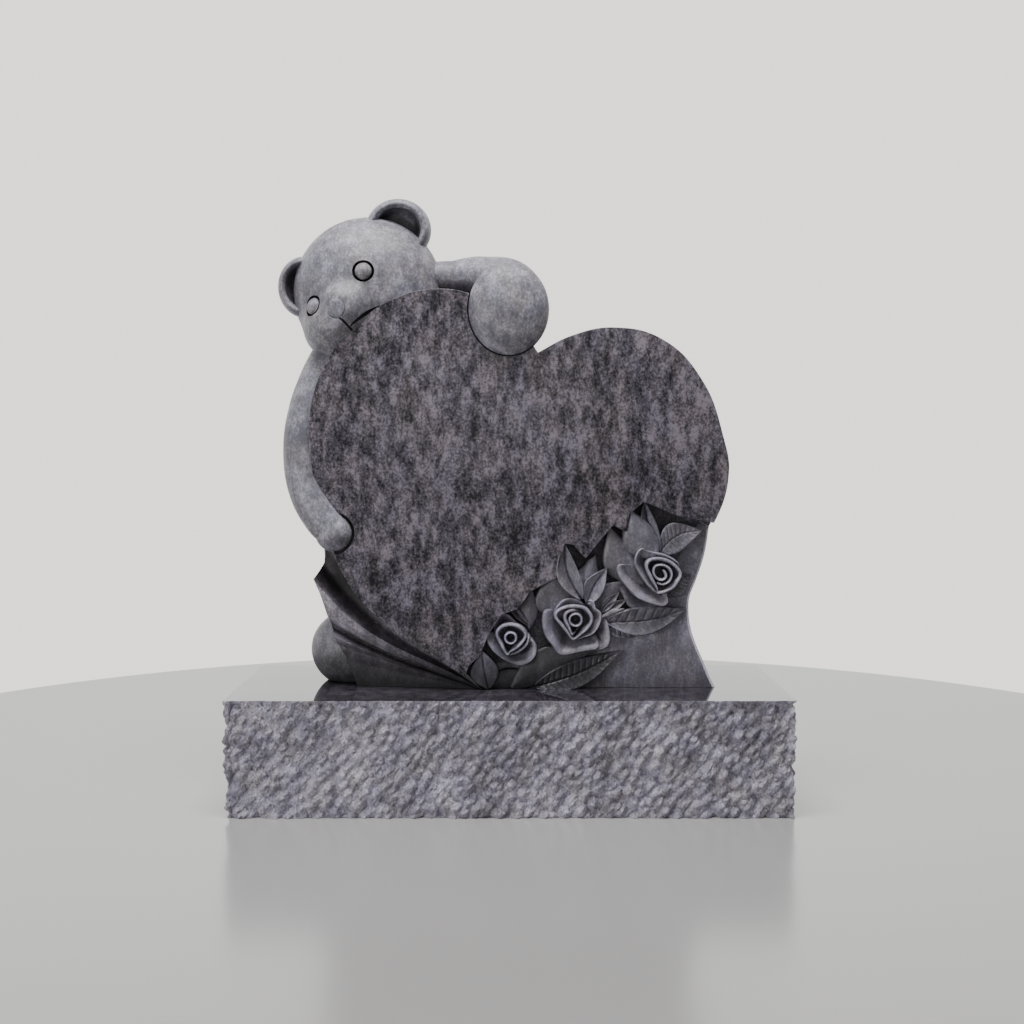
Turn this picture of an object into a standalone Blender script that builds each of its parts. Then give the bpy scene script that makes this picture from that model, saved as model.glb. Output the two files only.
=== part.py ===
"""A granite headstone in two pieces: a rock-pitched base with a flat top, and an upright heart tablet.
The tablet is one carved block: the heart, the teddy bear that hugs it from behind, the fan of folds at its
left foot and the spray of roses at its right foot. Metres, +Z up, front towards -Y."""

import math

import bmesh
import bpy
from mathutils import Matrix, Vector, noise

# Base block, and how far its hammered sides wander
BASE_LENGTH = 0.762
BASE_DEPTH = 0.305
BASE_HEIGHT = 0.157
PITCH_RELIEF = 0.006
PITCH_GRAIN = 0.055
PITCH_CELL = 0.032

# Tablet: its height to the top of the upper ear, the heart's thickness, how deep the bed behind the roses
# is cut, how far the roses and the bear's back stand out of the heart's two faces, and the worked edge
TABLET_HEIGHT = 0.680
HEART_THICKNESS = 0.120
BED_DEPTH = 0.028
ROSE_PROUD = 0.004
BEAR_BACK_PROUD = 0.032
ARRIS = 0.0025

# The mortar line between the two pieces
SEAT_GAP = 0.0003

# The carving is drawn 680 units tall on a heart 120 units thick, so one unit is 1 mm at the sizes above.
# A drawn point is (x, depth, z): x from the base's middle, depth behind the heart's face, z above the foot.
DRAWN_HEIGHT = 680
DRAWN_THICKNESS = 120
UNIT = TABLET_HEIGHT / DRAWN_HEIGHT
DEPTH_UNIT = HEART_THICKNESS / DRAWN_THICKNESS

# The tablet stands in the middle of the base's depth, the bear's back included
FACE = -(HEART_THICKNESS + BEAR_BACK_PROUD) / 2
HEART_BACK = FACE + HEART_THICKNESS
BED = FACE + BED_DEPTH
BED_DRAWN = BED_DEPTH / DEPTH_UNIT
BACK_DRAWN = (HEART_THICKNESS + BEAR_BACK_PROUD) / DEPTH_UNIT

# Joined shapes overlap by this much where their faces would otherwise lie in one plane
OVERLAP = 0.001

GRANITE = (0.115, 0.108, 0.122, 1.0)
PITCHED_GRANITE = (0.230, 0.225, 0.245, 1.0)


def clear_scene():
    for obj in list(bpy.data.objects):
        bpy.data.objects.remove(obj)


def new_collection(name, hidden=False):
    collection = bpy.data.collections.new(name)
    bpy.context.scene.collection.children.link(collection)
    collection.hide_render = hidden
    return collection


def stone(name, colour, roughness):
    material = bpy.data.materials.new(name)
    material.use_nodes = True
    shader = material.node_tree.nodes["Principled BSDF"]
    shader.inputs["Base Color"].default_value = colour
    shader.inputs["Roughness"].default_value = roughness
    shader.inputs["Metallic"].default_value = 0.0
    return material


def add_object(name, mesh, collection):
    """A helper's collection is hidden from renders, and so is the helper."""
    obj = bpy.data.objects.new(name, mesh)
    collection.objects.link(obj)
    if collection.hide_render:
        obj.hide_render = True
        obj.display_type = "WIRE"
    return obj


def mesh_of(name, bm, round_form=False):
    bmesh.ops.recalc_face_normals(bm, faces=bm.faces)
    mesh = bpy.data.meshes.new(name)
    bm.to_mesh(mesh)
    bm.free()
    if round_form:
        mesh.shade_smooth()
    return mesh


def box(name, low, high, collection):
    bm = bmesh.new()
    bmesh.ops.create_cube(bm, size=1.0)
    low, high = Vector(low), Vector(high)
    size = Matrix.Diagonal((*(high - low), 1.0))
    bmesh.ops.transform(bm, matrix=Matrix.Translation((low + high) / 2) @ size, verts=bm.verts)
    return add_object(name, mesh_of(name, bm), collection)


def at(x, depth, z):
    """The place of a drawn point."""
    return Vector((x * UNIT, FACE + depth * DEPTH_UNIT, z * UNIT))


# Flat outlines

def mesh_from_curve(name, drawn, collection, round_form=False):
    bpy.context.scene.collection.objects.link(drawn)
    bpy.context.view_layer.update()
    graph = bpy.context.evaluated_depsgraph_get()
    mesh = bpy.data.meshes.new_from_object(drawn.evaluated_get(graph))
    mesh.transform(drawn.matrix_world)
    bm = bmesh.new()
    bm.from_mesh(mesh)
    bmesh.ops.remove_doubles(bm, verts=bm.verts, dist=1e-5)
    bpy.data.objects.remove(drawn)
    bpy.data.meshes.remove(mesh)
    return add_object(name, mesh_of(name, bm, round_form), collection)


def outline_solid(name, knots, front, back, collection, arris=0.0, steps=3):
    """A closed outline that faces the front, solid from Y = front to Y = back. A knot is a drawn (x, z) on a
    smooth stretch, and has a third entry where it is a corner."""
    curve = bpy.data.curves.new(name, "CURVE")
    curve.dimensions = "2D"
    curve.fill_mode = "BOTH"
    curve.resolution_u = steps
    curve.extrude = (back - front) / 2 - arris
    curve.bevel_depth = arris
    curve.bevel_resolution = 0
    curve.offset = -arris
    spline = curve.splines.new("BEZIER")
    spline.use_cyclic_u = True
    spline.bezier_points.add(len(knots) - 1)
    for point, (x, z, *corner) in zip(spline.bezier_points, knots):
        point.co = (x * UNIT, z * UNIT, 0)
        point.handle_left_type = point.handle_right_type = "VECTOR" if corner else "AUTO"
    drawn = bpy.data.objects.new(name, curve)
    drawn.rotation_euler = (math.pi / 2, 0, 0)
    drawn.location = (0, (front + back) / 2, 0)
    return mesh_from_curve(name, drawn, collection)


# Round forms

def ball(name, centre, radii, collection, segments=20, rings=12):
    """An ellipsoid, with its centre and radii as drawn (x, depth, z)."""
    bm = bmesh.new()
    bmesh.ops.create_uvsphere(bm, u_segments=segments, v_segments=rings, radius=1.0)
    x, depth, z = radii
    sizes = Matrix.Diagonal((x * UNIT, depth * DEPTH_UNIT, z * UNIT, 1.0))
    bmesh.ops.transform(bm, matrix=Matrix.Translation(at(*centre)) @ sizes, verts=bm.verts)
    return add_object(name, mesh_of(name, bm, round_form=True), collection)


def limb(name, knots, collection, steps=3):
    """A round limb along knots of drawn (x, depth, z, radius), whose flat ends lie inside other forms."""
    curve = bpy.data.curves.new(name, "CURVE")
    curve.dimensions = "3D"
    curve.bevel_depth = UNIT
    curve.bevel_resolution = 3
    curve.resolution_u = steps
    curve.use_fill_caps = True
    spline = curve.splines.new("BEZIER")
    spline.bezier_points.add(len(knots) - 1)
    for point, (x, depth, z, radius) in zip(spline.bezier_points, knots):
        point.co = at(x, depth, z)
        point.radius = radius
        point.handle_left_type = point.handle_right_type = "AUTO"
    mesh_from_curve(name, bpy.data.objects.new(name, curve), collection, round_form=True)


def turned(name, profile, centre, stretch, collection, steps=16):
    """A form turned about a front-to-back axis. The profile is drawn (radius, height towards the front),
    from the front middle, down the outer side, to the back middle."""
    bm = bmesh.new()
    points = [bm.verts.new((radius * UNIT, 0, height * DEPTH_UNIT)) for radius, height in profile]
    for pair in zip(points, points[1:]):
        bm.edges.new(pair)
    mesh = bpy.data.meshes.new(name)
    bm.to_mesh(mesh)
    bm.free()
    obj = add_object(name, mesh, collection)
    obj.rotation_euler = (math.pi / 2, 0, 0)
    obj.location = at(*centre)
    obj.scale = (*stretch, 1.0)
    screw = obj.modifiers.new("turn", "SCREW")
    screw.steps = screw.render_steps = steps
    screw.use_merge_vertices = True
    screw.merge_threshold = 1e-5


# Carved surfaces

def relief(name, across, along, surface, back, collection):
    """A carved surface with stone behind it: surface(u, v) gives a point for u and v from 0 to 1, and the
    solid runs from there straight back to the plane Y = back."""
    bm = bmesh.new()
    bmesh.ops.create_grid(bm, x_segments=across, y_segments=along, size=1.0)
    for vert in bm.verts:
        vert.co = surface((vert.co.x + 1) / 2, (vert.co.y + 1) / 2)
    bmesh.ops.remove_doubles(bm, verts=bm.verts, dist=1e-5)
    front = list(bm.faces)
    grown = bmesh.ops.extrude_face_region(bm, geom=front, use_keep_orig=True)["geom"]
    for vert in (item for item in grown if isinstance(item, bmesh.types.BMVert)):
        vert.co.y = back
    return add_object(name, mesh_of(name, bm), collection)


def between(stations, share):
    """The values at a share from 0 to 1 along a row of stations, each a tuple of numbers."""
    place = share * (len(stations) - 1)
    index = min(int(place), len(stations) - 2)
    part = place - index
    return [a + (b - a) * part for a, b in zip(stations[index], stations[index + 1])]


def dish(name, middle, radii, rings, segments, back, collection, pointed=0.0):
    """A round form of the spray, as rings of (share of the radius, height above the bed). Pointed draws its
    outer rings out to a point at the lower left."""
    point_angle = math.radians(258)

    def surface(u, v):
        angle = u * math.tau
        share, height = between(rings, v)
        away = abs((angle - point_angle + math.pi) % math.tau - math.pi)
        share *= 1 + pointed * math.exp(-away / 0.42) * min(1.0, share)
        x = middle[0] + share * radii[0] * math.cos(angle)
        z = middle[1] + share * radii[1] * math.sin(angle)
        return at(x, BED_DRAWN - height * ROSE_RISE, z)

    relief(name, segments, len(rings) - 1, surface, back, collection)


# Heart and ground, as drawn (x, z)

HEART_OUTLINE = (
    (-34, 2, "tip"),
    (-99, 43),
    (-174, 94),
    (-223, 150),
    (-249, 215),
    (-267, 282),
    (-274, 340),
    (-268, 404),
    (-246, 456),
    (-212, 498),
    (-160, 534),
    (-100, 549),
    (-42, 538),
    (5, 510),
    (38, 463, "cleft"),
    (84, 486),
    (142, 497),
    (209, 480),
    (262, 425),
    (291, 349),
    (299, 300),
    (279, 231),
    (215, 150),
    (60, 40),
)

GROUND_OUTLINE = (
    (-60, -30, "below the foot"),
    (296, -30, "below the foot"),
    (286, 0, "foot"),
    (262, 52),
    (249, 105),
    (259, 150),
    (277, 228, "heart's side"),
    (200, 300, "inside the heart"),
    (-60, 110, "inside the heart"),
)

BED_OUTLINE = (
    (-64, 12),
    (-57, 34),
    (-41, 49),
    (-31, 75),
    (-12, 105),
    (11, 113),
    (28, 137),
    (63, 156),
    (75, 203),
    (87, 201),
    (103, 182),
    (124, 208),
    (141, 228),
    (157, 219),
    (183, 260),
    (228, 241),
    (278, 231),
    (320, 228),
    (320, -40),
    (-64, -40),
)


def heart(shown, bed_cutters):
    slab = outline_solid("heart_tablet", HEART_OUTLINE, FACE, HEART_BACK, shown, ARRIS)
    corners = [(x, z, "corner") for x, z in BED_OUTLINE]
    outline_solid("rose_bed", corners, FACE - HEART_THICKNESS, BED + OVERLAP, bed_cutters, steps=1)
    return slab


def ground(carving):
    outline_solid("ground", GROUND_OUTLINE, BED, HEART_BACK - OVERLAP, carving, ARRIS)


# Fan of folds: its folds spread from a point at the heart's tip to these ends on the left edge, top to bottom

FAN_TIP = (-38, 10, -3)
FOLD_ENDS = (
    (-262, 62, 215),
    (-264, 58, 166),
    (-273, 26, 151),
    (-259, 30, 109),
    (-247, 50, 80),
    (-243, 30, 67),
    (-226, 48, 38),
    (-214, 56, -12),
)
FOLD_SAG = 9
FOLD_SAG_FADES_BELOW = 120


def fan(carving):
    def surface(u, v):
        end = between(FOLD_ENDS, u)
        x, depth, z = between((end, FAN_TIP), v)
        fade = max(0.0, min(1.0, end[2] / FOLD_SAG_FADES_BELOW))
        sag = FOLD_SAG * math.sin(math.pi * min(1.0, v * 1.3)) * fade
        return at(x, depth, z - sag)

    relief("fan", len(FOLD_ENDS) - 1, 6, surface, HEART_BACK - 2 * OVERLAP, carving)


# Bear

HEAD_CENTRE = (-199, 73, 551)
HEAD_RADII = (105, 74, 105)
EYES = (("right_eye", -199, 573, 11.5), ("left_eye", -269, 527, 10.5))
EYE_GROOVE = 2.2
EAR_PROFILE = ((0, 13), (22, 15), (30, 26), (37, 27), (43, 17), (40, -1), (24, -10), (0, -12))
EARS = (
    ("upper_ear", (-152, 73, 637), (1.0, 1.0)),
    ("lower_ear", (-290, 73, 558), (0.86, 0.98)),
)
HUGGING_ARM = (
    (-240, 70, 470, 34),
    (-262, 55, 425, 33),
    (-279, 42, 375, 31),
    (-284, 32, 325, 30),
    (-277, 22, 275, 28),
    (-257, 13, 236, 26),
    (-241, 12, 219, 23),
)
RESTING_ARM = (
    (-125, 66, 560, 33),
    (-80, 62, 564, 32),
    (-35, 56, 562, 38),
    (8, 44, 551, 42),
    (0, 36, 520, 42),
    (-12, 36, 480, 36),
)
BODY_REACH = 50


def eye(name, x, z, radius, carving, cutters):
    """A low dome in a ring groove, square to the head's surface."""
    from_middle = Vector(((x - HEAD_CENTRE[0]) / HEAD_RADII[0], 0, (z - HEAD_CENTRE[2]) / HEAD_RADII[2]))
    from_middle.y = -math.sqrt(1 - from_middle.length_squared)
    reach = Vector((HEAD_RADII[0] * UNIT, HEAD_RADII[1] * DEPTH_UNIT, HEAD_RADII[2] * UNIT))
    place = at(*HEAD_CENTRE) + from_middle * reach
    facing = Vector(part / size for part, size in zip(from_middle, reach))
    turn = Matrix.Translation(place) @ facing.to_track_quat("Z", "Y").to_matrix().to_4x4()
    bm = bmesh.new()
    bmesh.ops.create_uvsphere(bm, u_segments=12, v_segments=8, radius=radius * UNIT)
    low_dome = Matrix.Diagonal((1.0, 1.0, 0.55, 1.0))
    bmesh.ops.transform(bm, matrix=turn @ low_dome, verts=bm.verts)
    add_object(name, mesh_of(name, bm, round_form=True), carving)
    bpy.ops.mesh.primitive_torus_add(
        major_segments=16,
        minor_segments=4,
        major_radius=(radius + EYE_GROOVE + 0.5) * UNIT,
        minor_radius=EYE_GROOVE * UNIT,
    )
    ring = bpy.context.object
    ring.data.transform(turn)
    add_object(name + "_groove", ring.data, cutters)
    bpy.data.objects.remove(ring)


def bear(carving, cutters):
    ball("head", HEAD_CENTRE, HEAD_RADII, carving, 22, 14)
    ball("cheek", (-238, 52, 499), (47, 54, 43), carving, 18, 12)
    ball("muzzle", (-226, 18, 520), (38, 28, 34), carving, 16, 10)
    ball("nose", (-235, -8, 521), (12, 6, 11), carving, 10, 6)
    for name, centre, stretch in EARS:
        turned(name, EAR_PROFILE, centre, stretch, carving)
    limb("hugging_arm", HUGGING_ARM, carving)
    ball("hand", (-240, 16, 217), (27, 27, 27), carving, 12, 8)
    limb("resting_arm", RESTING_ARM, carving)
    ball("paw", (-1, 6, 522), (56, 20, 64), carving, 18, 12)
    body_centre = (-160, BACK_DRAWN - BODY_REACH, 262)
    ball("body", body_centre, (112, BODY_REACH, 275), carving, 16, 10)
    ball("near_leg", (-224, 96, 45), (62, 54, 57), carving, 14, 10)
    ball("far_leg", (-96, 96, 45), (62, 54, 57), carving, 14, 8)
    ball("tail", (-160, BACK_DRAWN - 22, 66), (26, 20, 26), carving, 10, 8)
    for name, x, z, radius in EYES:
        eye(name, x, z, radius, carving, cutters)


# Spray of roses. Heights are shares of the rise from the bed to the roses' rims

ROSE_RISE = (BED_DEPTH + ROSE_PROUD) / DEPTH_UNIT
BUD_RINGS = (
    (0.00, 0.35),
    (0.26, 0.40),
    (0.34, 1.00),
    (0.58, 0.50),
    (0.64, 0.95),
    (0.90, 0.40),
    (1.00, 0.86),
    (1.14, 0.55),
    (1.34, 0.10),
)
PETAL_RINGS = ((0.0, 0.55), (0.55, 0.62), (0.88, 1.0), (1.0, 0.90), (1.10, 0.20))

# A rose is its middle (x, z), its bud's radius and its outer petals. A petal is its middle from the rose's
# middle (x, z), its half width, its half height and the height of its rim
ROSES = (
    (
        "left_rose",
        (1, 73),
        20,
        ((-6, 22, 17, 15, 0.40), (-10, -9, 24, 20, 0.45), (13, -15, 26, 23, 0.62)),
    ),
    (
        "middle_rose",
        (90, 98),
        25,
        (
            (-6, 20, 24, 18, 0.42),
            (-12, -18, 36, 32, 0.60),
            (16, -8, 32, 30, 0.66),
            (20, 16, 16, 16, 0.45),
        ),
    ),
    (
        "right_rose",
        (206, 164),
        24,
        ((-14, 16, 24, 26, 0.60), (-22, -14, 36, 28, 0.52), (8, -14, 24, 24, 0.40)),
    ),
)

# A leaf is its stem end (x, z), its tip (x, z), its half width and the height of its face
LEAVES = (
    ((203, 196), (184, 257), 11, 0.62),
    ((198, 196), (167, 244), 20, 0.72),
    ((160, 178), (140, 226), 19, 0.60),
    ((208, 198), (264, 228), 20, 0.66),
    ((96, 130), (76, 202), 17, 0.80),
    ((98, 132), (114, 184), 14, 0.66),
    ((103, 128), (124, 164), 12, 0.78),
    ((84, 136), (40, 142), 24, 0.60),
    ((24, 94), (26, 136), 13, 0.60),
    ((24, 94), (-5, 131), 7, 0.52),
    ((138, 94), (244, 106), 17, 0.66),
    ((136, 90), (186, 74), 15, 0.44),
    ((40, 8), (146, 48), 19, 0.52),
    ((24, 4), (74, 44), 20, 0.44),
    ((118, 112), (146, 148), 14, 0.52),
    ((128, 106), (162, 120), 9, 0.62),
    ((-36, 3), (-42, 50), 15, 0.84),
    ((-24, 2), (24, 22), 14, 0.34),
    ((214, 130), (252, 154), 12, 0.30),
)
RIB_DEPTH = 3.5
EDGE_FALL = 0.30

# Each form of the spray is rooted a little deeper than the last, so that no two backs lie in one plane
ROOT_DEPTH = 0.004
ROOT_STEP = 0.0003


def leaf(name, stem, tip, half_width, height, back, carving):
    """A pointed leaf, lower at its edges and along its middle rib."""
    start, end = Vector(stem), Vector(tip)
    way = end - start
    side = Vector((-way.y, way.x)).normalized()

    def surface(u, v):
        across = 2 * u - 1
        width = half_width * math.sin(math.pi * (0.06 + 0.94 * v) ** 0.85)
        point = start + way * v + side * across * width
        rise = ROSE_RISE * height * (1 - EDGE_FALL * across * across)
        rib = RIB_DEPTH * max(0.0, 1 - abs(across) * 3)
        return at(point.x, BED_DRAWN - rise + rib, point.y)

    relief(name, 4, 4, surface, back, carving)


def spray(carving):
    back = BED + ROOT_DEPTH
    for name, (x, z), radius, petals in ROSES:
        dish(name, (x, z), (radius, radius), BUD_RINGS, 16, back, carving, pointed=0.16)
        back += ROOT_STEP
        for number, (aside, up, wide, tall, height) in enumerate(petals):
            rings = [(share, rise * height) for share, rise in PETAL_RINGS]
            middle = (x + aside, z + up)
            dish(f"{name}_petal_{number}", middle, (wide, tall), rings, 12, back, carving)
            back += ROOT_STEP
    for number, (stem, tip, half_width, height) in enumerate(LEAVES):
        leaf(f"leaf_{number}", stem, tip, half_width, height, back, carving)
        back += ROOT_STEP


# The two pieces

def add_boolean(obj, operation, collection):
    modifier = obj.modifiers.new(collection.name, "BOOLEAN")
    modifier.operation = operation
    modifier.operand_type = "COLLECTION"
    modifier.collection = collection
    modifier.solver = "EXACT"


def tablet(shown):
    """One block of stone: everything carved is joined to the heart, and the foot is cut flat last."""
    carving = new_collection("carving", hidden=True)
    bed_cutters = new_collection("bed cutters", hidden=True)
    cutters = new_collection("cutters", hidden=True)
    slab = heart(shown, bed_cutters)
    ground(carving)
    fan(carving)
    bear(carving, cutters)
    spray(carving)
    reach = TABLET_HEIGHT
    box("foot_cut", (-reach, -reach, -reach), (reach, reach, 0), cutters)
    add_boolean(slab, "DIFFERENCE", bed_cutters)
    add_boolean(slab, "UNION", carving)
    add_boolean(slab, "DIFFERENCE", cutters)
    slab.data.materials.append(stone("carved_granite", GRANITE, 0.45))
    seat = bpy.data.objects.new("seat", None)
    shown.objects.link(seat)
    seat.location = (0, 0, BASE_HEIGHT + SEAT_GAP)
    for collection in (shown, carving, bed_cutters, cutters):
        for obj in collection.objects:
            if obj.type == "MESH":
                obj.parent = seat


def base(shown):
    """The four sides are pitched with a hammer, so they wander in from the edges of the flat top."""
    piece = box(
        "rock_pitched_base",
        (-BASE_LENGTH / 2, -BASE_DEPTH / 2, 0),
        (BASE_LENGTH / 2, BASE_DEPTH / 2, BASE_HEIGHT),
        shown,
    )
    sizes = (BASE_LENGTH, BASE_DEPTH, BASE_HEIGHT)
    bm = bmesh.new()
    bm.from_mesh(piece.data)
    caps = [face for face in bm.faces if abs(face.normal.z) > 0.5]
    bmesh.ops.delete(bm, geom=caps, context="FACES_ONLY")
    for axis, length in enumerate(sizes):
        edges = [e for e in bm.edges if abs(e.verts[0].co[axis] - e.verts[1].co[axis]) > length / 2]
        cuts = round(length / PITCH_CELL) - 1
        bmesh.ops.subdivide_edges(bm, edges=edges, cuts=cuts, use_grid_fill=True)
    for vert in bm.verts:
        inward = PITCH_RELIEF * (0.5 + 0.5 * noise.noise(vert.co / PITCH_GRAIN))
        if abs(vert.co.z - BASE_HEIGHT) < 1e-6:
            inward = 0
        for axis in (0, 1):
            if abs(vert.co[axis]) > sizes[axis] / 2 - 1e-6:
                vert.co[axis] -= math.copysign(inward, vert.co[axis])
    for level in (0, BASE_HEIGHT):
        rim = [e for e in bm.edges if e.is_boundary and abs(e.verts[0].co.z - level) < 1e-6]
        bmesh.ops.edgeloop_fill(bm, edges=rim)
    bmesh.ops.recalc_face_normals(bm, faces=bm.faces)
    bm.to_mesh(piece.data)
    bm.free()
    piece.data.materials.append(stone("pitched_granite", PITCHED_GRANITE, 0.7))


def main():
    clear_scene()
    shown = new_collection("headstone")
    tablet(shown)
    base(shown)


main()
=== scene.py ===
import math

import bmesh
import bpy
import numpy as np
from mathutils import Matrix, Vector


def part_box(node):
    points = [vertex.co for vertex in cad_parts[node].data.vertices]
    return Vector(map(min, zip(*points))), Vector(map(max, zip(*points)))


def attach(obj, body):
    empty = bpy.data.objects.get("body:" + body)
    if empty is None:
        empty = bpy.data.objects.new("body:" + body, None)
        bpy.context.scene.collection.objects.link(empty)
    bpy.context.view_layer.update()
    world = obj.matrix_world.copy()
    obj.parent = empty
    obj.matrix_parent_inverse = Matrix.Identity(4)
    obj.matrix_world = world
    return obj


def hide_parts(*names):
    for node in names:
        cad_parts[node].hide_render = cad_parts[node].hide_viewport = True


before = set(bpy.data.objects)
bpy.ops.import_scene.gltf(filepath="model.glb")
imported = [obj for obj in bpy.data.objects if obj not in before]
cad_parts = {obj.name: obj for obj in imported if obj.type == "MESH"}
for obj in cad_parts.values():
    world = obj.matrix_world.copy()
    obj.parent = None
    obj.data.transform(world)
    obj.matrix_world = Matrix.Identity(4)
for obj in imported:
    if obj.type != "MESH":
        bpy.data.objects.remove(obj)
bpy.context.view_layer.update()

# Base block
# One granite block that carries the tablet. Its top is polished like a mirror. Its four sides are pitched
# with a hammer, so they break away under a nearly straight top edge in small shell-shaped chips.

BASE_LOW, BASE_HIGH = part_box("rock_pitched_base")
BASE_CHIP_GRID = 0.0020
CHIP_SLANT = -38
TOP_EDGE_BREAK = 0.35


def new_tree(name, **sizes):
    """An empty node tree for a piece. Its sizes are named inputs, given as the names of each kind."""
    tree = bpy.data.node_groups.new(name, "GeometryNodeTree")
    tree.interface.new_socket(name="Piece", in_out="INPUT", socket_type="NodeSocketGeometry")
    for kind, names in sizes.items():
        for size_name in names:
            tree.interface.new_socket(name=size_name, in_out="INPUT", socket_type="NodeSocket" + kind)
    tree.interface.new_socket(name="Piece", in_out="OUTPUT", socket_type="NodeSocketGeometry")
    return tree


def wire(tree, source, target):
    """Joins an output to an input, each given as (node, socket name or number)."""
    tree.links.new(source[0].outputs[source[1]], target[0].inputs[target[1]])


def add_node(tree, kind, settings=None, inputs=None):
    """A new node. Each of its inputs is a plain value, or another node's output as (node, socket)."""
    node = tree.nodes.new(kind)
    for key, value in (settings or {}).items():
        setattr(node, key, value)
    for key, value in (inputs or {}).items():
        if isinstance(value, tuple) and isinstance(value[0], bpy.types.Node):
            wire(tree, value, (node, key))
        else:
            node.inputs[key].default_value = value
    return node


def maths(tree, operation, *values):
    """The output of a maths node on one or two values."""
    return add_node(tree, "ShaderNodeMath", {"operation": operation}, dict(enumerate(values))), 0


def finish_tree(tree, geometry, material):
    """Ends a tree in real geometry of one material."""
    real = add_node(tree, "GeometryNodeRealizeInstances", inputs={"Geometry": geometry})
    inputs = {"Geometry": (real, "Geometry"), "Material": material}
    finish = add_node(tree, "GeometryNodeSetMaterial", inputs=inputs)
    add_node(tree, "NodeGroupOutput", inputs={"Piece": (finish, "Geometry")})


def plain_mesh(obj):
    """The plain mesh of an object, with its curve or its modifiers worked out."""
    bpy.context.view_layer.update()
    graph = bpy.context.evaluated_depsgraph_get()
    return bpy.data.meshes.new_from_object(obj.evaluated_get(graph))


def cut_by_tree(obj, tree, sizes):
    """Runs a tree on an object with these sizes and keeps the result as its plain mesh."""
    modifier = obj.modifiers.new("made", "NODES")
    modifier.node_group = tree
    for item in tree.interface.items_tree:
        if item.in_out == "INPUT" and item.name in sizes:
            modifier[item.identifier] = sizes[item.name]
    made = plain_mesh(obj)
    obj.modifiers.remove(modifier)
    return made


def placed(name, data):
    """A new object in the scene."""
    obj = bpy.data.objects.new(name, data)
    bpy.context.scene.collection.objects.link(obj)
    return obj


def dress(obj, stones, slots=None):
    """Gives a piece its stones. Each face keeps the slot that it has, unless slots are given."""
    slots = slots or [polygon.material_index for polygon in obj.data.polygons]
    obj.data.materials.clear()
    for stone in stones:
        obj.data.materials.append(stone)
    obj.data.polygons.foreach_set("material_index", slots)


MIX_RESULT = 2


def times(tree, colour, factor):
    """The output of a colour multiplied by another colour or by a value."""
    settings = {"data_type": "RGBA", "blend_type": "MULTIPLY"}
    return add_node(tree, "ShaderNodeMix", settings, {0: 1.0, 6: colour, 7: factor}), MIX_RESULT


def colour_ramp(tree, source, *stops):
    """The output of a ramp over a value, whose stops are (place, colour)."""
    ramp = add_node(tree, "ShaderNodeValToRGB", inputs={"Fac": source})
    for place, colour in stops[1:-1]:
        ramp.color_ramp.elements.new(place)
    for element, (place, colour) in zip(ramp.color_ramp.elements, stops):
        element.position = place
        element.color = (*colour, 1.0)
    return ramp, "Color"


def granite(
    name,
    light,
    dark,
    roughness,
    fleck,
    grain_bump,
    tilt=0.0,
    drawn_out=0.55,
    gloss=0.5,
    grain_scale=520.0,
    blotch=1.0,
    tool_marks=0.0,
    contrast=1.0,
    blotch_scale=66.0,
    cloud=0.55,
):
    """Bluish granite: pale and dark flecks stretched upright, gathered in blotches and soft clouds."""
    material = bpy.data.materials.new(name)
    material.use_nodes = True
    tree = material.node_tree
    shader = tree.nodes["Principled BSDF"]
    finish = {"Roughness": roughness, "Metallic": 0.0, "IOR": 1.5, "Specular IOR Level": gloss}
    for key, value in finish.items():
        shader.inputs[key].default_value = value
    place = add_node(tree, "ShaderNodeTexCoord")

    def pattern(scale, detail, rough, squeeze=(1.0, 1.0, drawn_out), turn=tilt):
        """The output of noise that is turned about Y and drawn out along the axes that are squeezed."""
        turn = (0.0, math.radians(turn), 0.0)
        inputs = {"Vector": (place, "Object"), "Rotation": turn, "Scale": squeeze}
        grain_way = add_node(tree, "ShaderNodeMapping", inputs=inputs)
        inputs = {"Vector": (grain_way, "Vector"), "Scale": scale, "Detail": detail, "Roughness": rough}
        return add_node(tree, "ShaderNodeTexNoise", inputs=inputs), "Fac"

    flecks = pattern(1 / fleck, 5.0, 0.68, (1.0, 1.0, 0.85))
    blotches = maths(tree, "MULTIPLY", pattern(blotch_scale, 4.0, 0.62), blotch)
    clouds = maths(tree, "MULTIPLY", pattern(13.0, 3.0, 0.5), cloud)
    figure = maths(tree, "ADD", maths(tree, "ADD", flecks, blotches), clouds)
    average = 0.505 + 0.5 * (blotch + cloud)
    half_range = 0.25 / contrast
    inputs = {"Value": figure, "From Min": average - half_range, "From Max": average + half_range}
    spread = add_node(tree, "ShaderNodeMapRange", inputs=inputs)
    middle = [d + (l - d) * 0.33 for d, l in zip(dark, light)]
    tones = colour_ramp(tree, (spread, "Result"), (0.0, dark), (0.48, middle), (1.0, light))
    # The stone drifts between a lilac and a brownish grey
    drift = pattern(34.0, 2.0, 0.6)
    tints = colour_ramp(tree, drift, (0.36, (1.03, 1.0, 0.955)), (0.62, (0.98, 0.97, 1.04)))
    colour = times(tree, tones, tints)
    if tool_marks:
        strokes = pattern(420.0, 3.0, 0.6, (1.0, 0.6, 0.10), 48)
        inputs = {"From Min": 0.3, "From Max": 0.7, "To Min": 1.0 - tool_marks, "To Max": 1.0 + tool_marks}
        faint = add_node(tree, "ShaderNodeMapRange", inputs={"Value": strokes, **inputs})
        colour = times(tree, colour, (faint, "Result"))
    wire(tree, colour, (shader, "Base Color"))
    if grain_bump:
        inputs = {"Strength": 1.0, "Distance": grain_bump, "Height": pattern(grain_scale, 4.0, 0.6)}
        wire(tree, (add_node(tree, "ShaderNodeBump", inputs=inputs), "Normal"), (shader, "Normal"))
    return material


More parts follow.
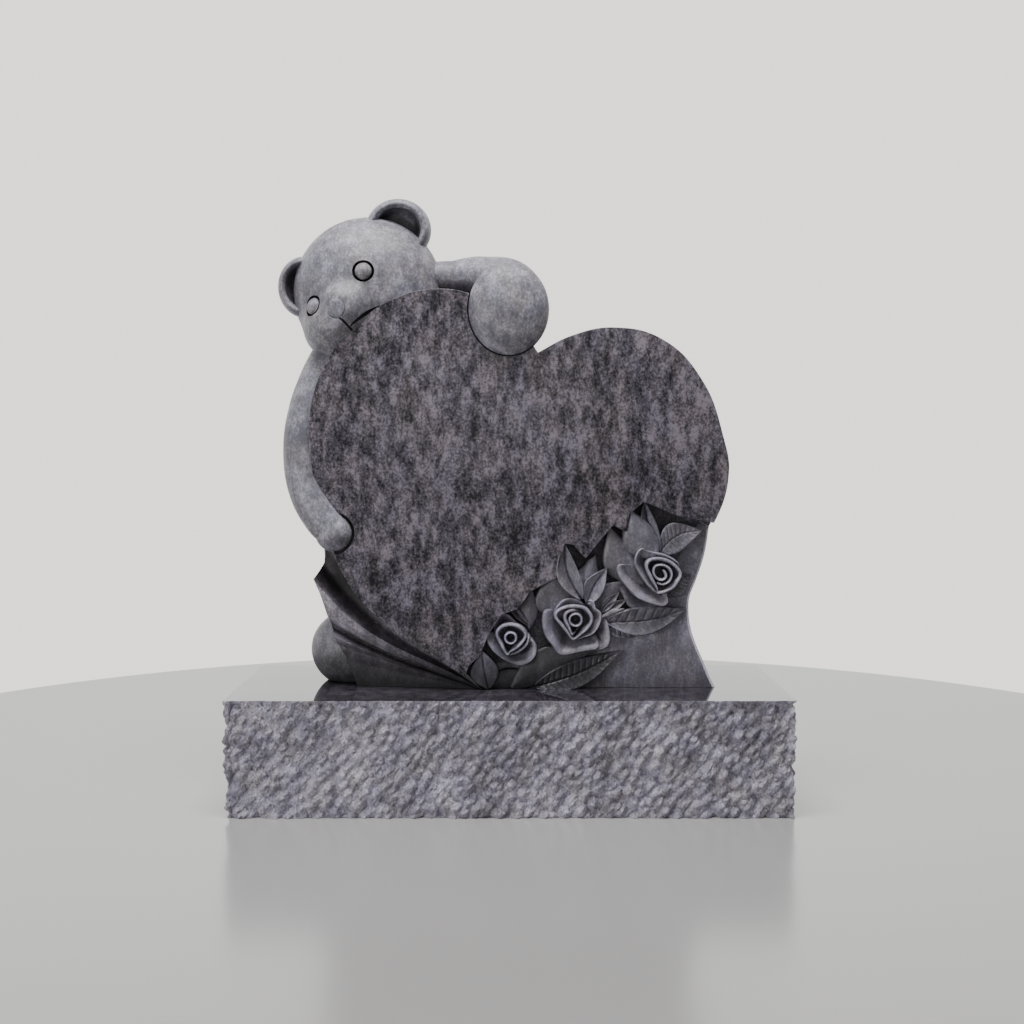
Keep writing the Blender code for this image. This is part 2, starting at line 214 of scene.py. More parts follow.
pitched = granite(
    "pitched_granite_sides",
    (0.63, 0.602, 0.685),
    (0.148, 0.141, 0.176),
    0.5,
    0.0030,
    0.0060,
    tilt=-35.0,
    drawn_out=0.75,
    grain_scale=280.0,
    blotch=0.75,
)
mirror_top = granite(
    "polished_granite_top", (0.085, 0.077, 0.095), (0.009, 0.0085, 0.011), 0.03, 0.003, 0.0, tilt=80.0
)

tree = new_tree(
    "pitched_block",
    Int=("Columns", "Rows", "Courses"),
    Float=(
        "Length",
        "Depth",
        "Height",
        "Hollow Depth",
        "Chip Depth",
        "Grain Depth",
        "Proud Depth",
        "Edge Fade",
        "Corner Reach",
    ),
)
given = add_node(tree, "NodeGroupInput")
sizes = {"X": (given, "Length"), "Y": (given, "Depth"), "Z": (given, "Height")}
block_size = add_node(tree, "ShaderNodeCombineXYZ", inputs=sizes)
grid = {"Vertices X": (given, "Columns"), "Vertices Y": (given, "Rows"), "Vertices Z": (given, "Courses")}
block = add_node(tree, "GeometryNodeMeshCube", inputs={"Size": (block_size, 0), **grid})
facing = add_node(tree, "GeometryNodeInputNormal")
facing_parts = add_node(tree, "ShaderNodeSeparateXYZ", inputs={0: (facing, "Normal")})
is_cap = add_node(
    tree,
    "FunctionNodeCompare",
    {"data_type": "FLOAT", "operation": "GREATER_THAN"},
    {"A": maths(tree, "ABSOLUTE", (facing_parts, "Z")), "B": 0.5},
)
sides = add_node(
    tree,
    "GeometryNodeDeleteGeometry",
    {"domain": "FACE"},
    {"Geometry": (block, "Mesh"), "Selection": (is_cap, "Result")},
)

where = add_node(tree, "GeometryNodeInputPosition")
slant = {"Vector": (where, 0), "Angle": math.radians(CHIP_SLANT)}
slanted = add_node(tree, "ShaderNodeVectorRotate", {"rotation_type": "Y_AXIS"}, slant)
long_chips = {0: (slanted, 0), 1: (1.0, 1.0, 0.7)}
slim = (add_node(tree, "ShaderNodeVectorMath", {"operation": "MULTIPLY"}, long_chips), 0)
hollow_noise = {"Vector": slim, "Scale": 14.0, "Detail": 2.0, "Roughness": 0.5}
hollows = add_node(tree, "ShaderNodeTexNoise", inputs=hollow_noise)
chip_cells = {"Vector": slim, "Scale": 88.0, "Smoothness": 0.15}
chips = add_node(tree, "ShaderNodeTexVoronoi", {"feature": "SMOOTH_F1"}, chip_cells)
grain_noise = {"Vector": slim, "Scale": 190.0, "Detail": 3.0, "Roughness": 0.6}
grain = add_node(tree, "ShaderNodeTexNoise", inputs=grain_noise)
inward = maths(tree, "MULTIPLY", (hollows, "Fac"), (given, "Hollow Depth"))
for source, depth in (((chips, "Distance"), "Chip Depth"), ((grain, "Fac"), "Grain Depth")):
    inward = maths(tree, "ADD", inward, maths(tree, "MULTIPLY", source, (given, depth)))
# The proudest chips stand at the block's full size
inward = maths(tree, "MAXIMUM", maths(tree, "SUBTRACT", inward, (given, "Proud Depth")), 0.0)
# Towards the polished top the break gets shallower
place_parts = add_node(tree, "ShaderNodeSeparateXYZ", inputs={0: (where, 0)})
top = maths(tree, "MULTIPLY", (given, "Height"), 0.5)
below_top = maths(tree, "SUBTRACT", top, (place_parts, "Z"))
fade = add_node(
    tree,
    "ShaderNodeMapRange",
    {"interpolation_type": "SMOOTHSTEP"},
    {"Value": below_top, "From Max": (given, "Edge Fade"), "To Min": TOP_EDGE_BREAK},
)
amount = maths(tree, "MULTIPLY", inward, (fade, "Result"))
# Near an upright corner the break turns from one side's way into the next one's, so they never cross
outward = add_node(tree, "ShaderNodeCombineXYZ")
for axis, size_name in (("X", "Length"), ("Y", "Depth")):
    half = maths(tree, "MULTIPLY", (given, size_name), 0.5)
    from_side = maths(tree, "SUBTRACT", half, maths(tree, "ABSOLUTE", (place_parts, axis)))
    reach = {"Value": from_side, "From Max": (given, "Corner Reach"), "To Min": 1.0, "To Max": 0.0}
    share = add_node(tree, "ShaderNodeMapRange", inputs=reach)
    which_end = maths(tree, "SIGN", (place_parts, axis))
    wire(tree, maths(tree, "MULTIPLY", (share, "Result"), which_end), (outward, axis))
outward_way = add_node(tree, "ShaderNodeVectorMath", {"operation": "NORMALIZE"}, {0: (outward, 0)})
shift = add_node(
    tree,
    "ShaderNodeVectorMath",
    {"operation": "SCALE"},
    {0: (outward_way, 0), "Scale": maths(tree, "MULTIPLY", amount, -1.0)},
)
broken = {"Geometry": (sides, "Geometry"), "Offset": (shift, 0)}
finish_tree(tree, (add_node(tree, "GeometryNodeSetPosition", inputs=broken), "Geometry"), pitched)

TOP_CAP_MARK = 2
base_size = BASE_HIGH - BASE_LOW
base = placed("granite_base", bpy.data.meshes.new("granite_base"))
base.data = cut_by_tree(
    base,
    tree,
    {
        "Length": base_size.x,
        "Depth": base_size.y,
        "Height": base_size.z,
        "Columns": round(base_size.x / BASE_CHIP_GRID),
        "Rows": round(base_size.y / BASE_CHIP_GRID),
        "Courses": round(base_size.z / BASE_CHIP_GRID),
        "Hollow Depth": 0.0100,
        "Chip Depth": 0.0125,
        "Grain Depth": 0.0080,
        "Proud Depth": 0.0095,
        "Edge Fade": 0.006,
        "Corner Reach": 0.012,
    },
)
base.data.transform(Matrix.Translation((BASE_LOW + BASE_HIGH) / 2))
bm = bmesh.new()
bm.from_mesh(base.data)
for level_z in (BASE_LOW.z, BASE_HIGH.z):
    rim = [e for e in bm.edges if e.is_boundary and abs(e.verts[0].co.z - level_z) < 1e-5]
    caps = bmesh.ops.edgeloop_fill(bm, edges=rim)["faces"]
    for face in caps:
        face.material_index = TOP_CAP_MARK if level_z == BASE_HIGH.z else 0
bmesh.ops.recalc_face_normals(bm, faces=bm.faces)
bm.to_mesh(base.data)
bm.free()
# Only the top cap is polished
is_top = [int(polygon.material_index == TOP_CAP_MARK) for polygon in base.data.polygons]
dress(base, (pitched, mirror_top), is_top)
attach(base, "root")
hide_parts("rock_pitched_base")

# Heart
# The upright slab that the bear hugs: polished granite with a small rounded arris all round. The stone
# behind the roses is cut back from its face, so they stand in their own bed.

SEAT = BASE_HIGH.z + 0.0003
FACE = -0.076
HEART_BACK = 0.044
BED = -0.048
HEART_OUTLINE = (
    (-34, 2, "tip"), (-99, 43), (-174, 94), (-223, 150), (-249, 215), (-267, 282), (-274, 340), (-268, 404),
    (-246, 456), (-212, 498), (-160, 534), (-100, 549), (-42, 538), (5, 510), (38, 463, "cleft"), (84, 486),
    (142, 497), (209, 480), (262, 425), (291, 349), (299, 300), (279, 231), (215, 150), (60, 40),
)
BED_OUTLINE = (
    (-64, 12), (-57, 34), (-41, 49), (-31, 75), (-12, 105), (11, 113), (28, 137), (63, 156), (75, 203),
    (87, 201), (103, 182), (124, 208), (141, 228), (157, 219), (163, 243), (183, 260), (228, 241),
    (278, 231), (320, 228), (320, -40), (-64, -40),
)


def drawn(x, depth, z):
    """A point of the carving in metres, from millimetres: x from the middle, depth behind the heart's face
    and z above the seat."""
    return Vector((x / 1000, FACE + depth / 1000, SEAT + z / 1000))


DOUBLES = 1e-6
SLIVERS = 1e-7


def mended(mesh, doubles=True, slivers=False):
    """The mesh with its faces turned outwards, after its doubles and its slivers are merged where asked."""
    bm = bmesh.new()
    bm.from_mesh(mesh)
    if doubles:
        bmesh.ops.remove_doubles(bm, verts=bm.verts, dist=DOUBLES)
    if slivers:
        bmesh.ops.dissolve_degenerate(bm, edges=bm.edges, dist=SLIVERS)
    bmesh.ops.recalc_face_normals(bm, faces=bm.faces)
    bm.to_mesh(mesh)
    bm.free()
    return mesh


def plate(name, knots, front, back, arris=0.0, steps=12):
    """A closed flat outline, solid from Y = front to Y = back, with a rounded arris. A knot with a third
    entry is a corner."""
    curve = bpy.data.curves.new(name, "CURVE")
    curve.dimensions = "2D"
    curve.fill_mode = "BOTH"
    curve.resolution_u = steps
    curve.extrude = (back - front) / 2 - arris
    curve.bevel_depth = arris
    curve.bevel_resolution = 3
    curve.offset = -arris
    spline = curve.splines.new("BEZIER")
    spline.use_cyclic_u = True
    spline.bezier_points.add(len(knots) - 1)
    for point, (x, z, *corner) in zip(spline.bezier_points, knots):
        point.co = (x / 1000, z / 1000, 0)
        point.handle_left_type = point.handle_right_type = "VECTOR" if corner else "AUTO"
    flat = placed(name, curve)
    made = plain_mesh(flat)
    bpy.data.objects.remove(flat)
    turn = Matrix.Translation((0, (front + back) / 2, SEAT)) @ Matrix.Rotation(math.pi / 2, 4, "X")
    made.transform(turn)
    made.name = name
    return placed(name, mended(made))


def carve(obj, other):
    """Cuts another form out of a form, and removes the other."""
    modifier = obj.modifiers.new("carve", "BOOLEAN")
    modifier.operation = "DIFFERENCE"
    modifier.object = other
    modifier.solver = "EXACT"
    modifier.material_mode = "INDEX"
    made = plain_mesh(obj)
    obj.modifiers.remove(modifier)
    obj.data = made
    bpy.data.objects.remove(other)


def cut_foot(obj):
    """Cuts away what a form has below the seat."""
    below = [(x, z, "corner") for x, z in ((-400, -60), (400, -60), (400, 0), (-400, 0))]
    carve(obj, plate("foot_cut", below, -0.2, 0.2))


def crisp(mesh, degrees):
    """Smooth faces, with a crease wherever two meet at more than this angle."""
    mesh.shade_smooth()
    mesh.set_sharp_from_angle(angle=math.radians(degrees))


PLATE_CREASE = 32
polished = granite(
    "polished_granite_heart",
    (0.200, 0.178, 0.211),
    (0.008, 0.0075, 0.010),
    0.24,
    0.0030,
    0.0,
    drawn_out=0.5,
    gloss=0.3,
    blotch=1.05,
    contrast=1.1,
    blotch_scale=86.0,
    cloud=0.32,
)
# Rough stone for the bed behind the roses, kept darker than the carving as painted shade
recess_shade = granite("rough_cut_granite_painted_shade", (0.20, 0.185, 0.22), (0.03, 0.028, 0.036), 0.6, 0.0035, 0.0003)
# Painted shade: near-black stone for the faces of the narrow grooves, where shade falls in them
groove_shade = granite(
    "groove_shade_granite", (0.024, 0.022, 0.027), (0.006, 0.0055, 0.007), 0.6, 0.0035, 0.0, gloss=0.15
)
heart = plate("heart", HEART_OUTLINE, FACE, HEART_BACK, 0.0010)
bed_cut = plate("bed_cut", [(x, z, "corner") for x, z in BED_OUTLINE], FACE - 0.05, BED, steps=1)
carve(heart, bed_cut)
cut_foot(heart)
crisp(heart.data, PLATE_CREASE)
dress(heart, (polished,))
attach(heart, "root")
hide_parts("heart_tablet")

# Ground
# The honed block under the roses, left standing between the heart's lower right edge and the seat. Its
# right side curves in, with a worked edge down its front that is painted much paler as a highlight.

GROUND_OUTLINE = (
    (-60, -30, "below the foot"), (296, -30, "below the foot"), (286, 0, "foot"), (278, 16), (269, 38),
    (259, 61), (252, 83), (249, 106), (250, 125), (259, 150), (270, 184), (277, 227, "heart's side"),
    (262, 236, "hidden"), (238, 205, "hidden"), (222, 150, "hidden"), (165, 110, "hidden"),
    (118, 84, "hidden"), (60, 50, "hidden"), (-60, 30, "hidden"),
)


def toned_along(material, axis, start, end, start_tone, end_tone=1.0):
    """Multiplies a stone's colour by a tone that changes smoothly from one place on an axis to another."""
    tree = material.node_tree
    shader = tree.nodes["Principled BSDF"]
    place = add_node(tree, "ShaderNodeTexCoord")
    parts = add_node(tree, "ShaderNodeSeparateXYZ", inputs={0: (place, "Object")})
    tone = {"From Min": start, "From Max": end, "To Min": start_tone, "To Max": end_tone}
    tone = {"Value": (parts, axis), **tone}
    tone = add_node(tree, "ShaderNodeMapRange", {"interpolation_type": "SMOOTHSTEP"}, tone)
    colour = (shader.inputs["Base Color"].links[0].from_node, MIX_RESULT)
    wire(tree, times(tree, colour, (tone, "Result")), (shader, "Base Color"))


honed = granite(
    "honed_granite_ground",
    (0.37, 0.352, 0.41),
    (0.130, 0.125, 0.150),
    0.42,
    0.003,
    0.00015,
    tool_marks=0.12,
)
# Painted shade: the carving turns under towards the seat, and its colour is darkened there
toned_along(honed, "Z", SEAT, SEAT + 0.055, 0.5)
# Painted highlight: the worked edge gets a far paler stone, partly for its worked finish and partly
# standing in for the light it catches from the right
worked_edge_highlight = granite("worked_granite_edge_painted_highlight", (0.95, 0.92, 0.97), (0.55, 0.53, 0.58), 0.6, 0.003, 0.0004)
ground = plate("rose_ground", GROUND_OUTLINE, BED - 0.0008, HEART_BACK - 0.001, 0.0055)
cut_foot(ground)
crisp(ground.data, PLATE_CREASE)
rounded = [int(face.normal.x > 0.2 and face.normal.y < -0.2) for face in ground.data.polygons]
dress(ground, (honed, worked_edge_highlight), rounded)
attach(ground, "root")
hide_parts("heart_tablet")

# Folds
# The fan of drapery at the heart's lower left edge. It is carved from the same block: sharp pleats that
# spread from one point at the heart's tip, with deep hollows between them.


def depth_shaded_granite(name, light, dark, deepest, proudest, deep_shade_tone, proud_highlight_tone):
    """Honed granite with painted light: paler as a painted highlight where an edge stands proud, and darker
    as painted shade the deeper it is cut.
    """
    material = granite(name, light, dark, 0.42, 0.0035, 0.00015)
    toned_along(material, "Y", deepest, proudest, deep_shade_tone, proud_highlight_tone)
    return material


FAN_TIP = (-38, 15, -2)
# Each pleat line: its end on the left edge (x, depth, z), how much it sags, and how crisp it is
PLEATS = (
    ((-262, 66, 232), 8, "hollow"),
    ((-260, 64, 200), 16, "hollow"),
    ((-262, 60, 172), 22, "hollow"),
    ((-272, 20, 152), 22, "ridge"),
    ((-262, 26, 126), 17, "soft"),
    ((-256, 32, 104), 12, "soft"),
    ((-251, 47, 86), 7, "hollow"),
    ((-245, 24, 72), 4, "ridge"),
    ((-239, 36, 58), 2, "soft"),
    ((-226, 40, 34), 1, "soft"),
    ((-212, 42, -6), 0, "hollow"),
)


def closed_relief(name, rows, back):
    """A front surface given as rows of points, closed by walls that run straight back to Y = back."""
    tall, wide = len(rows), len(rows[0])
    points = [tuple(point) for row in rows for point in row]
    count = len(points)
    points += [(x, back, z) for x, y, z in points]
    faces = []
    for i in range(tall - 1):
        for j in range(wide - 1):
            a = i * wide + j
            faces.append((a, a + 1, a + wide + 1, a + wide))
            faces.append((count + a, count + a + wide, count + a + wide + 1, count + a + 1))
    edge = list(range(wide))
    edge += [i * wide + wide - 1 for i in range(1, tall)]
    edge += [(tall - 1) * wide + j for j in range(wide - 2, -1, -1)]
    edge += [i * wide for i in range(tall - 2, 0, -1)]
    for a, b in zip(edge, edge[1:] + edge[:1]):
        faces.append((b, a, count + a, count + b))
    return whole_mesh(name, points, faces)


def whole_mesh(name, points, faces):
    """A closed mesh from points and faces, with its doubles merged and its faces turned outwards."""
    mesh = bpy.data.meshes.new(name)
    mesh.from_pydata(points, [], faces)
    return mended(mesh, slivers=True)


def joined(name, meshes):
    """One object from several closed meshes that overlap, as the forms of one carved block do."""
    bm = bmesh.new()
    for mesh in meshes:
        bm.from_mesh(mesh)
        bpy.data.meshes.remove(mesh)
    made = bpy.data.meshes.new(name)
    bm.to_mesh(made)
    bm.free()
    return placed(name, made)


PLEAT_STEPS = 8
LINE_STEPS = 60
rows = []
for (upper, upper_sag, upper_kind), (lower, lower_sag, lower_kind) in zip(PLEATS, PLEATS[1:]):
    for step in range(PLEAT_STEPS + (lower is PLEATS[-1][0])):
        share = step / PLEAT_STEPS
        # A pleat is sharp at a ridge and rounds out in a hollow or a soft fold
        if upper_kind == "ridge":
            curl = 1 - (1 - share) * (1 - 0.5 * share)
        elif lower_kind == "ridge":
            curl = share * share
        else:
            curl = share * share * (3 - 2 * share)
        end_x = upper[0] + (lower[0] - upper[0]) * share
        end_z = upper[2] + (lower[2] - upper[2]) * share
        end_depth = upper[1] + (lower[1] - upper[1]) * curl
        sag = upper_sag + (lower_sag - upper_sag) * share
        row = []
        for place in range(LINE_STEPS + 1):
            along = place / LINE_STEPS
            droop = sag * 6.75 * along * (1 - along) ** 2
            x = end_x + (FAN_TIP[0] - end_x) * along
            z = end_z + (FAN_TIP[2] - end_z) * along - droop
            depth = end_depth + (FAN_TIP[1] - end_depth) * along
            row.append(drawn(x, depth, z))
        rows.append(row)
folds = joined("drapery_folds", [closed_relief("folds", rows, HEART_BACK - 0.002)])
cut_foot(folds)
crisp(folds.data, 24)
# Painted shade in the folds: darker the deeper they lie behind the heart's face and towards the seat, with
# a painted highlight on the proud pleats
fold_stone = depth_shaded_granite(
    "depth_shaded_folds", (0.27, 0.25, 0.28), (0.06, 0.056, 0.066), FACE + 0.056, FACE + 0.018, 0.20, 2.0
)
toned_along(fold_stone, "Z", SEAT, SEAT + 0.115, 0.09)
dress(folds, (fold_stone,))
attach(folds, "root")
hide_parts("heart_tablet")

# Bear
# A plain teddy bear that leans over the heart's left shoulder and hugs it with both arms. It is honed to a
# pale soft grey, with its eyes, nose and mouth cut as fine grooves. Painted shade darkens its lower parts,
# the underside of its resting arm, and the eye and mouth grooves.

DARK_SLOT = 1
RECESS_SLOT = 2
EAR_SLOT = 2
UNDER_ARM_SHADE_SLOT = 3
PALE_STONE = ((0.30, 0.293, 0.33), (0.085, 0.083, 0.098), 0.5, 0.0032, 0.0001)
PALE_GRAIN = {"drawn_out": 0.85, "blotch": 0.9, "tool_marks": 0.15, "contrast": 1.15}
pale = granite("pale_honed_granite", *PALE_STONE, **PALE_GRAIN)
# Painted shade: a copy of the pale stone that darkens the resting arm's underside below its lit top
shaded_under_arm = granite("pale_granite_shaded_under_arm", *PALE_STONE, **PALE_GRAIN)
toned_along(shaded_under_arm, "Z", SEAT + 0.548, SEAT + 0.590, 0.42)
# Painted shade: the bear's stone darkens towards the seat, over its feet and tail
toned_along(pale, "Z", SEAT, SEAT + 0.11, 0.3)
HEAD_CENTRE = (-199, 73, 551)
# Each form of the head: its middle, its three radii, and how full it is, where 2 is an ellipsoid
HEAD_FORMS = (
    (HEAD_CENTRE, (105, 74, 105), 2.0),
    ((-240, 47, 499), (46, 52, 43), 2.1),
    ((-224, 16, 525), (33, 33, 33), 2.2),
    ((-237, 6, 500), (17, 18, 14), 2.2),
)
HEAD_BLEND = 13.0
BEAR_CREASE = 28


def head_field(points):
    """Below zero inside the head, whose forms flow into each other."""
    field = None
    for centre, radii, fullness in HEAD_FORMS:
        offset = points - np.array(centre, float)
        near = (np.abs(offset / np.array(radii, float)) ** fullness).sum(axis=-1) ** (1 / fullness)
        length = np.linalg.norm(offset, axis=-1)
        distance = length - length / np.maximum(near, 1e-6)
        if field is None:
            field = distance
            continue
        blend = np.maximum(HEAD_BLEND - np.abs(field - distance), 0) / HEAD_BLEND
        field = np.minimum(field, distance) - blend * blend * HEAD_BLEND / 4
    return field


RAY_STEPS = 80
HALVINGS = 14


def to_surface(starts, ways, reach):
    """Where rays from these starts last leave the head."""
    steps = np.linspace(0, reach, RAY_STEPS)
    inside = np.stack([head_field(starts + ways * t) < 0 for t in steps])
    last = inside.shape[0] - 1 - np.argmax(inside[::-1], axis=0)
    low = steps[last]
    high = low + steps[1]
    for _ in range(HALVINGS):
        middle = (low + high) / 2
        within = head_field(starts + ways * middle[:, None]) < 0
        low = np.where(within, middle, low)
        high = np.where(within, high, middle)
    return starts + ways * low[:, None]


bm = bmesh.new()
bmesh.ops.create_icosphere(bm, subdivisions=7, radius=1.0)
ways = np.array([vert.co for vert in bm.verts])
surface = to_surface(np.tile(np.array(HEAD_CENTRE, float), (len(ways), 1)), ways, 170.0)
for vert, place in zip(bm.verts, surface):
    vert.co = drawn(*place)
head_mesh = bpy.data.meshes.new("head")
bm.to_mesh(head_mesh)
bm.free()
head = joined("head", [head_mesh])


def on_face(x, z):
    """The point of the head in front of a drawn (x, z), and the way that it faces, in metres."""
    start = np.array([[x, HEAD_CENTRE[1] + 2.0, z]])
    point = to_surface(start, np.array([[0.0, -1.0, 0.0]]), 120.0)
    slope = [head_field(point + nudge)[0] - head_field(point - nudge)[0] for nudge in np.eye(3) * 0.5]
    return drawn(*point[0]), Vector(slope).normalized()


def ring_groove(place, facing, radius, width, depth, sink, slot):
    """A ring that cuts a narrow deep groove square to the surface, whose stone is in this slot."""
    bpy.ops.mesh.primitive_torus_add(
        major_segments=64,
        minor_segments=12,
        major_radius=radius / 1000,
        minor_radius=width / 1000,
    )
    ring = bpy.context.object
    deep = Matrix.Diagonal((1.0, 1.0, depth / width, 1.0))
    turn = facing.to_track_quat("Z", "Y").to_matrix().to_4x4()
    ring.data.transform(Matrix.Translation(place - facing * sink / 1000) @ turn @ deep)
    for polygon in ring.data.polygons:
        polygon.material_index = slot
    return ring


def dome(place, facing, radius, rise, sink):
    """A low round button square to the surface, sunk a little into it."""
    bm = bmesh.new()
    bmesh.ops.create_uvsphere(bm, u_segments=48, v_segments=24, radius=1.0)
    size = Matrix.Diagonal((radius / 1000, radius / 1000, rise / 1000, 1.0))
    turn = facing.to_track_quat("Z", "Y").to_matrix().to_4x4()
    turn = Matrix.Translation(place - facing * sink / 1000) @ turn
    bmesh.ops.transform(bm, matrix=turn @ size, verts=bm.verts)
    made = bpy.data.meshes.new("dome")
    bm.to_mesh(made)
    bm.free()
    return made


bear_forms = []
# The eyes' ring grooves take the near-black stone as painted shade
for x, z in ((-199, 573), (-269, 527)):
    place, facing = on_face(x, z)
    facing = (facing + Vector((0, -0.15, 0))).normalized()
    carve(head, ring_groove(place, facing, 13.2, 1.9, 5.5, 1.0, DARK_SLOT))
    bear_forms.append(dome(place, facing, 11.6, 8.5, 2.0))
place, facing = on_face(-234.5, 521)
bear_forms.append(dome(place, facing, 12.3, 2.8, 0.8))
carve(head, ring_groove(place, facing, 12.6, 0.9, 1.2, 0.2, 0))

# A round form that follows a drawn path, as thick as the path says
limb_tree = new_tree("limb", Object=("Path",), Int=("Turns", "Steps"))
given = add_node(limb_tree, "NodeGroupInput")
path = {"Object": (given, "Path")}
path = add_node(limb_tree, "GeometryNodeObjectInfo", {"transform_space": "ORIGINAL"}, path)
even = {"Curve": (path, "Geometry"), "Count": (given, "Steps")}
even = add_node(limb_tree, "GeometryNodeResampleCurve", {"mode": "COUNT"}, even)
round_cut = {"Radius": 0.001, "Resolution": (given, "Turns")}
round_cut = add_node(limb_tree, "GeometryNodeCurvePrimitiveCircle", inputs=round_cut)
swept = add_node(
    limb_tree,
    "GeometryNodeCurveToMesh",
    inputs={
        "Curve": (even, "Curve"),
        "Profile Curve": (round_cut, "Curve"),
        "Scale": (add_node(limb_tree, "GeometryNodeInputRadius"), "Radius"),
        "Fill Caps": True,
    },
)
finish_tree(limb_tree, (swept, "Mesh"), pale)


def limb(name, knots, turns=56, steps=110):
    """A limb along knots of drawn (x, depth, z, radius)."""
    curve = bpy.data.curves.new(name, "CURVE")
    curve.dimensions = "3D"
    curve.resolution_u = 24
    spline = curve.splines.new("BEZIER")
    spline.bezier_points.add(len(knots) - 1)
    for point, (x, depth, z, radius) in zip(spline.bezier_points, knots):
        point.co = drawn(x, depth, z)
        point.radius = radius
        point.handle_left_type = point.handle_right_type = "AUTO"
    path = placed(name + "_path", curve)
    holder = placed(name, bpy.data.meshes.new(name))
    made = cut_by_tree(holder, limb_tree, {"Path": path, "Turns": turns, "Steps": steps})
    bpy.data.objects.remove(holder)
    bpy.data.objects.remove(path)
    return mended(made, doubles=False)


def ellipsoid(centre, radii, detail):
    """A round form, flattened where it would reach below the seat."""
    bm = bmesh.new()
    bmesh.ops.create_icosphere(bm, subdivisions=detail, radius=1.0)
    for vert in bm.verts:
        vert.co = drawn(*(c + r * v for c, r, v in zip(centre, radii, vert.co)))
        vert.co.z = max(vert.co.z, SEAT)
    made = bpy.data.meshes.new("form")
    bm.to_mesh(made)
    bm.free()
    return made


def smooth_line(knots, count, closed=False):
    """Even steps along a smooth line through knots of any number of values."""
    knots = np.array(knots, float)
    total = len(knots)
    made = []
    spans = total if closed else total - 1
    for step in range(count):
        place = step * spans / (count if closed else count - 1)
        index = min(int(place), spans - 1)
        t = place - index
        if closed:
            a, b, c, d = (knots[(index + k) % total] for k in (-1, 0, 1, 2))
        else:
            a, b, c, d = (knots[min(max(index + k, 0), total - 1)] for k in (-1, 0, 1, 2))
        made.append(b + 0.5 * t * (c - a + t * (2 * a - 5 * b + 4 * c - d + t * (3 * (b - c) + d - a))))
    return made


def turned(centre, profile, stretch, turns=72, steps=40, hollow=0.0):
    """A form turned about a front-to-back axis. The profile is (radius, depth) from the front middle, round
    the outside, to the back middle. Faces in a hollow of this radius at the front are left dark."""
    line = smooth_line(profile, steps)
    points = []
    faces = []
    for radius, depth in line:
        for turn in range(turns):
            angle = math.tau * turn / turns
            x = centre[0] + max(radius, 0.0) * stretch[0] * math.cos(angle)
            z = centre[2] + max(radius, 0.0) * stretch[1] * math.sin(angle)
            points.append(drawn(x, centre[1] + depth, z))
    for i in range(len(line) - 1):
        for j in range(turns):
            k = (j + 1) % turns
            faces.append((i * turns + j, i * turns + k, (i + 1) * turns + k, (i + 1) * turns + j))
    made = whole_mesh("turned", points, faces)
    for polygon in made.polygons:
        place = polygon.center
        from_middle = math.hypot(
            (place.x * 1000 - centre[0]) / stretch[0],
            ((place.z - SEAT) * 1000 - centre[2]) / stretch[1],
        )
        in_front = (place.y - FACE) * 1000 < centre[1] + 2
        polygon.material_index = EAR_SLOT if from_middle < hollow and in_front else 0
    return made


EAR_PROFILE = (
    (0, 0), (12, -1), (23, -3), (28, -11), (30, -21), (34, -27), (39, -25), (42.5, -17), (43, -6), (38, 6),
    (24, 11), (0, 12),
)


def face_path(drawn_line):
    """Knots for a groove that follows the surface of the head along a drawn line of (x, z, radius)."""
    knots = []
    for x, z, radius in drawn_line:
        place, facing = on_face(x, z)
        knots.append((x, (place.y - FACE) * 1000, z, radius))
    return knots


def line_groove(path, steps):
    """A cutter for a narrow groove along a path, whose faces take near-black stone as painted shade."""
    mesh = limb("groove", path, 16, steps)
    for polygon in mesh.polygons:
        polygon.material_index = DARK_SLOT
    return placed("groove", mesh)


# Knots of the mouth's line, and of the shadow line where the cheek meets the heart, as (x, z, radius); both
# are cut as grooves of near-black stone that paints their shade
MOUTH_LINE = (
    (-229.5, 508, 1.2), (-225, 505, 1.5), (-220.5, 500, 1.5), (-215.5, 494.5, 1.5), (-210, 488.5, 1.5),
)
BESIDE_HEART = (
    (-216, 497.5, 1.0), (-208, 505, 2.2), (-199, 512, 3.0), (-189, 518.5, 3.1), (-176, 526, 1.4),
)
for line in (MOUTH_LINE, BESIDE_HEART):
    carve(head, line_groove(face_path(line), 40))
bear_forms.append(turned((-156, 73, 637), EAR_PROFILE, (1.06, 1.0), hollow=30))
bear_forms.append(turned((-288, 73, 558), EAR_PROFILE, (0.84, 0.98), hollow=30))
HUGGING_ARM = (
    (-240, 70, 470, 34), (-262, 55, 425, 33), (-279, 42, 375, 31), (-284, 32, 325, 30), (-277, 22, 275, 28),
    (-257, 13, 236, 26), (-243, 10, 220, 24.5),
)
RESTING_ARM = (
    (-125, 72, 566, 27), (-80, 70, 572, 23.5), (-38, 63, 570, 31), (6, 46, 549, 39), (0, 38, 518, 40),
    (-12, 36, 480, 36),
)


def arc_path(middle, radii, start, end, thickness):
    """Knots for a groove along part of an ellipse on the heart's face, from one angle to another."""
    knots = []
    for angle in range(start, end, 10):
        across, up = math.cos(math.radians(angle)), math.sin(math.radians(angle))
        knots.append((middle[0] + radii[0] * across, 0.5, middle[1] + radii[1] * up, thickness))
    return knots


# A groove of near-black stone runs round the paw and round the hand, where they lie on the heart, as a
# painted shadow line
for groove_path in (
    arc_path((-2, 522), (54.6, 62.6), 130, 341, 1.9),
    arc_path((-241.5, 217), (26.5, 26.5), -110, 71, 2.6),
):
    carve(heart, line_groove(groove_path, 90))
crisp(heart.data, PLATE_CREASE)
